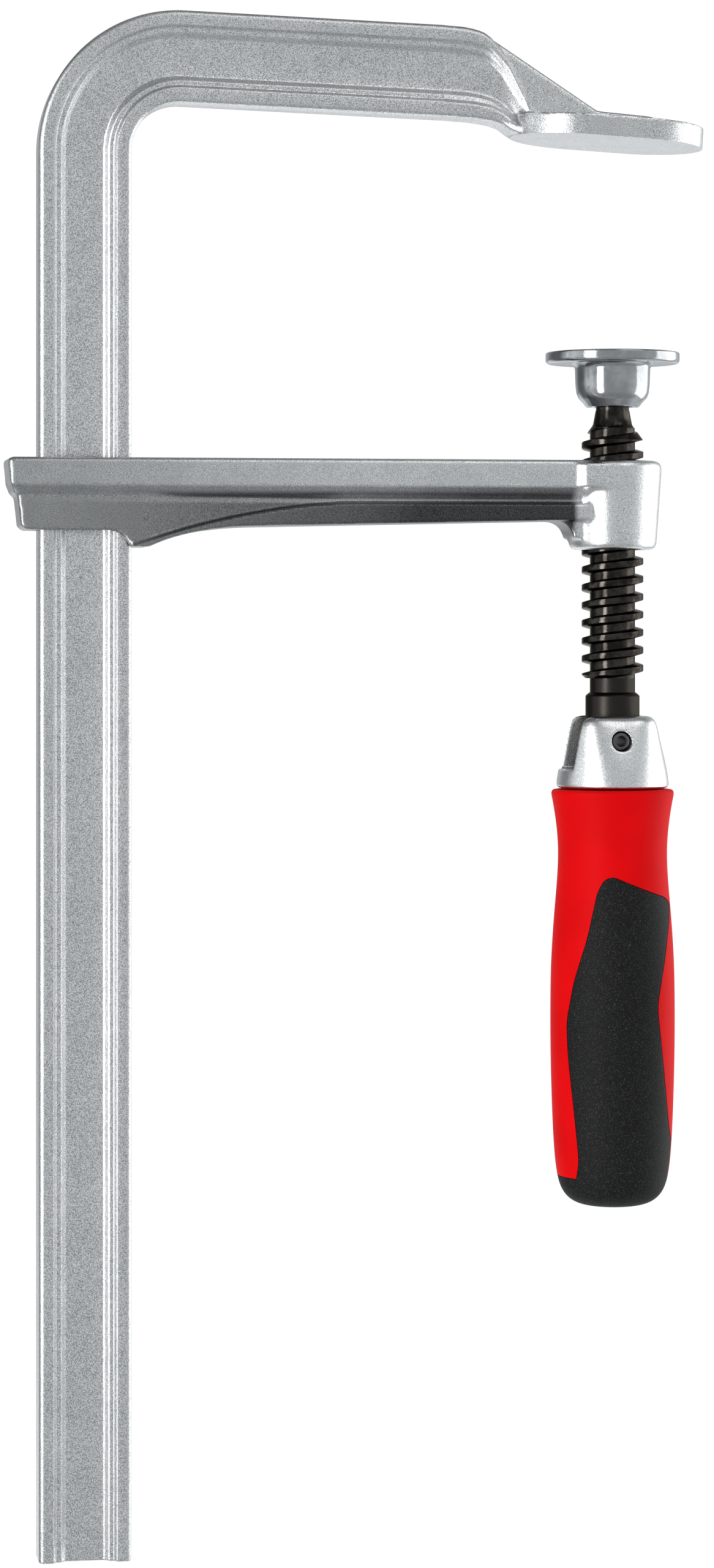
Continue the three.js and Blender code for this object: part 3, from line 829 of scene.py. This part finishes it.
# Pressure plate. Turned from bar and bright zinc plated: a flat disc with small round corners on a cup,
# whose mouth is closed in under the screw's ball.
plate_low, plate_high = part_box("pressure_plate")
plate_radius = plate_high.x
plate_under = plate_high.z - 2.84 * mm
cup_radius = 9.4 * mm
cavity = ball_radius + 0.3 * mm
lip_z = plate_low.z + 1.2 * mm
lip_radius = sqrt(cavity**2 - (lip_z - ball_middle) ** 2)
low_corner, high_corner = 1.0 * mm, 0.5 * mm
rim_points = arc((plate_radius - low_corner, plate_under + low_corner), low_corner, range(-90, 1, 15))
rim_points += arc((plate_radius - high_corner, plate_high.z - high_corner), high_corner, range(0, 91, 18))
cavity_points = arc((0, ball_middle), cavity, range(84, -38, -6))
pressure_plate = turned(
    "pressure_pad",
    [(0, ball_middle + cavity)]
    + cavity_points
    + [
        (lip_radius, lip_z),
        (lip_radius + 0.7 * mm, plate_low.z + 0.15 * mm),
        (lip_radius + 1.1 * mm, plate_low.z),
        (cup_radius - 2.9 * mm, plate_low.z),
        (cup_radius - 2.6 * mm, plate_low.z + 0.3 * mm),
        (cup_radius - 2.1 * mm, plate_low.z + 1.0 * mm),
        (cup_radius - 1.4 * mm, plate_low.z + 1.7 * mm),
        (cup_radius - 0.9 * mm, plate_low.z + 2.3 * mm),
        (cup_radius - 0.45 * mm, plate_low.z + 3.4 * mm),
        (cup_radius - 0.2 * mm, plate_low.z + 5.4 * mm),
        (cup_radius - 0.05 * mm, plate_under - 1.2 * mm),
        (cup_radius + 0.25 * mm, plate_under - 0.5 * mm),
        (cup_radius + 0.9 * mm, plate_under),
    ]
    + rim_points
    + [(0, plate_high.z)],
    128,
)
polished = Finish("polished_zinc", 1.0)
haze = polished.between(polished.noise(5 * mm, 3, 0.6), 0.35, 0.7)
dust = polished.noise(0.3 * mm, 2, 0.6)
lathe_marks = {"noise_dimensions": "1D"}
turning = polished.add("ShaderNodeTexNoise", lathe_marks, {"W": polished.along("Z"), "Scale": 6000})
polished_zinc = polished.wear(
    polished.blend(haze, grey(0.38, 0.08), grey(0.52, 0.05)),
    0.07 + 0.08 * haze,
    polished.bump(dust, 0.012 * mm, polished.bump(turning, 0.004 * mm)),
)
shown(pressure_plate, "plate", "polished_zinc", polished_zinc, "pressure_plate", sharp=30)


# Handle yoke. A bright plated casting: a collar that squares up into two cheeks. The slot between them is
# open on the left, so the screw's shank can lie in it when the handle is folded, and a tang enters the grip.
yoke_low, yoke_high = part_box("handle_yoke")
yoke_radius = yoke_high.x + 0.3 * mm
yoke_base = -159.3 * mm
slot_half = shank_radius + 0.4 * mm
tang_radius = 4.6 * mm
yoke = turned(
    "yoke",
    [
        (0, yoke_base),
        (yoke_radius - 0.5 * mm, yoke_base),
        (yoke_radius - 0.1 * mm, yoke_base + 0.35 * mm),
        (yoke_radius, yoke_base + 0.9 * mm),
        (yoke_radius - 0.12 * mm, yoke_base + 2.3 * mm),
        (yoke_radius - 0.55 * mm, yoke_base + 4.7 * mm),
        (yoke_radius - 1.25 * mm, yoke_base + 7.5 * mm),
        (yoke_radius - 2.1 * mm, yoke_base + 10.4 * mm),
        (yoke_radius - 3.1 * mm, yoke_base + 13.5 * mm),
        (yoke_radius - 3.8 * mm, yoke_base + 15.4 * mm),
        (yoke_radius - 4.4 * mm, yoke_base + 16.6 * mm),
        (yoke_radius - 5.2 * mm, yoke_base + 17.4 * mm),
        (yoke_radius - 6.1 * mm, yoke_high.z),
        (0, yoke_high.z),
    ],
)
squareness = 0.25
for vert in yoke.data.vertices:
    share = (vert.co.z - yoke_base) / (yoke_high.z - yoke_base)
    fuller = 1 + squareness * share**2 * sin(2 * atan2(vert.co.y, vert.co.x)) ** 2
    vert.co.x *= fuller
    vert.co.y *= fuller
slot_top, slot_mouth = yoke_high.z + 3 * mm, -20 * mm
slot_outline = [(slot_half, slot_top), (slot_mouth, slot_top), (slot_mouth, pivot_z - slot_half)]
slot_outline += arc((0, pivot_z), slot_half, range(-90, 1, 6))
combined(
    yoke,
    "DIFFERENCE",
    slab("slot", slot_outline, 2 * slot_half),
    cross_rod("pin_hole", pin_radius + pin_gap, 40 * mm),
)
softened(yoke, 0.28 * mm, 7)
tang = turned(
    "tang",
    [
        (0, yoke_low.z),
        (tang_radius - 0.8 * mm, yoke_low.z),
        (tang_radius, yoke_low.z + 0.8 * mm),
        (tang_radius, yoke_base + 1 * mm),
        (0, yoke_base + 1 * mm),
    ],
    48,
)
combined(yoke, "UNION", tang)
yoke.name = "yoke_collar"
bright_casting = plated("bright_casting", tone=0.95, dark=0.65, grain=0.2 * mm, depth=0.04 * mm, shine=0.18)
shown(yoke, "handle", "bright_casting", bright_casting, "handle_yoke", sharp=40)


# Pivot pin. A hollow spring pin with chamfered ends, pressed across the yoke and through the screw's eye.
pin_low, pin_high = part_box("pivot_pin")
pin_length = pin_high.y - pin_low.y
pin_bore_radius = 1.35 * mm
hollow_pin = cross_rod("hollow_pin", pin_radius, pin_length)
edges_rounded(hollow_pin, 0.35 * mm, 3, 40)
combined(hollow_pin, "DIFFERENCE", cross_rod("pin_bore", pin_bore_radius, 2 * pin_length))
shown(hollow_pin, "handle", "spring_steel", spring_steel, "pivot_pin", sharp=35)


# Grip core. Hard red plastic moulded on the tang, waisted below its rim and fullest at the palm, with
# hollows for the black coat: two slanted panels and the whole end.
grip_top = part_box("grip_core")[1].z
smoothing_loss = 0.5 * mm
grip_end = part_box("grip_coat")[0].z - smoothing_loss


def grip_form(name, inset, segments=32):
    """The grip's outside, drawn in by an inset, as a smooth turned solid."""
    profile = [
        (0, grip_end + inset),
        (6.2 * mm, grip_end + 0.1 * mm + inset),
        (10.1 * mm, grip_end + 1.0 * mm + inset),
        (12.9 * mm - inset, grip_end + 3.8 * mm + inset * 0.6),
        (14.1 * mm - inset, grip_end + 8.6 * mm),
        (14.75 * mm - inset, grip_end + 16 * mm),
        (15.2 * mm - inset, grip_end + 27 * mm),
        (15.52 * mm - inset, grip_end + 40 * mm),
        (15.5 * mm - inset, grip_end + 52 * mm),
        (15.35 * mm - inset, grip_end + 61 * mm),
        (14.6 * mm - inset, grip_end + 72 * mm),
        (13.75 * mm - inset, grip_end + 81 * mm),
        (13.45 * mm - inset, grip_end + 88 * mm),
        (13.95 * mm - inset, grip_end + 94.5 * mm),
        (15.0 * mm - inset, grip_top - 2.4 * mm),
        (15.3 * mm - inset, grip_top - 1.3 * mm),
        (15.2 * mm - inset, grip_top - 0.45 * mm),
        (14.7 * mm - inset, grip_top - 0.02 * mm),
        (13.0 * mm - inset, grip_top),
        (0, grip_top),
    ]
    form = turned(name, profile, segments)
    return modified(form, ("SUBSURF", {"levels": 2, "render_levels": 2}))


panel_depth = 23 * mm
panel_turn = radians(-12)
coat_thickness = 1.8 * mm


def coat_form(name, grow):
    """The space of the black coat: two slanted panels on opposite sides and the end cap."""
    outline = [
        (-10.6 * mm - grow, grip_end - 4 * mm),
        (-8.1 * mm - grow, grip_top - 91 * mm),
        (-9.0 * mm - grow, grip_top - 82 * mm),
        (-10.8 * mm - grow, grip_top - 65.5 * mm),
        (-11.2 * mm - grow, grip_top - 57 * mm),
        (-9.4 * mm - grow, grip_top - 47 * mm),
        (-6.0 * mm - grow, grip_top - 36 * mm),
        (-3.4 * mm - grow, grip_top - 24 * mm),
        (-0.9 * mm, grip_top - 20.7 * mm + grow),
        (14.0 * mm + grow, grip_top - 27.0 * mm + grow),
        (13.9 * mm + grow, grip_top - 32 * mm),
        (12.9 * mm + grow, grip_top - 41 * mm),
        (11.0 * mm + grow, grip_top - 53 * mm),
        (12.3 * mm + grow, grip_top - 66 * mm),
        (13.8 * mm + grow, grip_top - 83 * mm),
        (14.9 * mm + grow, grip_top - 90 * mm),
        (20 * mm, grip_end - 4 * mm),
    ]
    bm = bmesh.new()
    ring_of(bm, [(x, -25 * mm, z) for x, z in outline])
    bmesh.ops.bevel(
        bm,
        geom=[vert for vert in bm.verts if vert.co.z > grip_end],
        offset=2.4 * mm,
        segments=5,
        affect="VERTICES",
        profile=0.5,
        material=-1,
        clamp_overlap=True,
    )
    raised(bm, bm.edges[:], (0, panel_depth, 0))
    bmesh.ops.rotate(bm, verts=bm.verts, cent=(0, 0, 0), matrix=Matrix.Rotation(panel_turn, 3, "Z"))
    bmesh.ops.duplicate(bm, geom=bm.verts[:] + bm.edges[:] + bm.faces[:])
    half = len(bm.verts) // 2
    bm.verts.ensure_lookup_table()
    bmesh.ops.rotate(bm, verts=bm.verts[half:], cent=(0, 0, 0), matrix=Matrix.Rotation(pi, 3, "Z"))
    panels = new_piece(name, bm)
    wide = 40 * mm
    cap = block("cap", (-wide, -wide, grip_end - 6 * mm), (wide, wide, grip_end + 7.6 * mm + grow))
    combined(panels, "UNION", cap)
    return combined(panels, "DIFFERENCE", grip_form("under_coat", coat_thickness + grow, 24))


grip_core = grip_form("grip_body", 0)
seam = 0.12 * mm
combined(grip_core, "DIFFERENCE", coat_form("hollow", seam))
hole_radius, hole_end, hole_top = 4.9 * mm, grip_top - 63 * mm, grip_top + 2 * mm
tang_hole = [(0, hole_end), (hole_radius, hole_end), (hole_radius, hole_top), (0, hole_top)]
combined(grip_core, "DIFFERENCE", turned("tang_hole", tang_hole, 48))
red = Finish("red_plastic", 0.0)
red.shader.inputs["Specular IOR Level"].default_value = 0.04
red_grain = red.noise(0.4 * mm, 3, 0.6)
red_clouds = red.between(red.noise(14 * mm, 2), 0.3, 0.7)
red_plastic = red.wear(
    red.blend(red_clouds, (0.74, 0.0025, 0.004, 1), (0.82, 0.003, 0.005, 1)),
    0.42 + 0.15 * red_grain,
    red.bump(red_grain, 0.035 * mm),
)
shown(grip_core, "handle", "red_plastic", red_plastic, "grip_core", sharp=40)


# Grip coat. Black soft-touch rubber moulded into the core's hollows, with a fine matt grain.
grip_coat = grip_form("grip_cover", 0)
combined(grip_coat, "INTERSECT", coat_form("coat_space", 0))
soft = Finish("black_soft_coat", 0.0)
soft.shader.inputs["Specular IOR Level"].default_value = 0.13
coat_grain = soft.noise(0.3 * mm, 2, 0.6)
coat_specks = soft.between(coat_grain, 0.5, 0.72)
black_soft_coat = soft.wear(
    soft.blend(coat_specks, (0.008, 0.008, 0.0085, 1), (0.05, 0.0505, 0.051, 1)),
    0.5 + 0.2 * coat_grain,
    soft.bump(coat_grain, 0.06 * mm),
)
shown(grip_coat, "handle", "black_soft_coat", black_soft_coat, "grip_coat", sharp=40)
